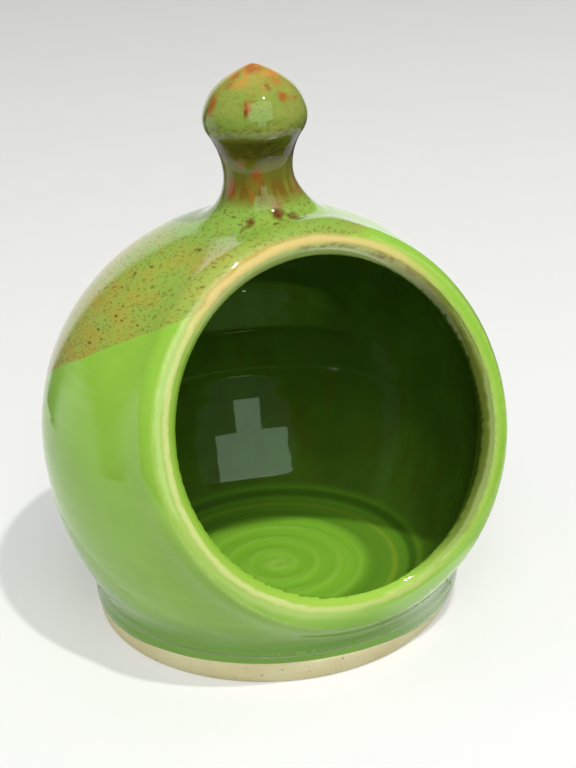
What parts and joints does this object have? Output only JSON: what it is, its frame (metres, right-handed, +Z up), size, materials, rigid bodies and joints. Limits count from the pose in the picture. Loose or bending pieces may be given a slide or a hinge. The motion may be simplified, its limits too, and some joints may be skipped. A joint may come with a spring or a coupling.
{
  "type": "salt pig",
  "caption": "Round-bellied glazed stoneware salt pig with a slanted round mouth, a rolled lip, a plain banded foot and a pointed knob grip on its dome.",
  "frame": {"origin": "centre of the foot's flat underside, on the pot's turning axis", "axes": "+Z up along the turning axis, towards the knob. The mouth faces -Y, tipped 20 degrees up, and +X is on the right of someone who looks into it."},
  "size_m": [0.1338, 0.1264, 0.1615],
  "materials": {
    "bare_clay": "matte, unglazed stoneware",
    "liner_glaze": "glossy dark green glaze over throwing rings",
    "green_glaze": "glossy leaf-green glaze that breaks pale on edges",
    "dip_glaze": "glossy olive glaze with fine brown iron specks"
  },
  "bodies": {
    "root": {"base": "bare_clay", "pot_wall": "bare_clay", "mouth_collar": "bare_clay", "knob": "bare_clay", "liner_glaze": "liner_glaze", "green_glaze": "green_glaze", "dip_glaze": "dip_glaze"}
  },
  "joints": []
}
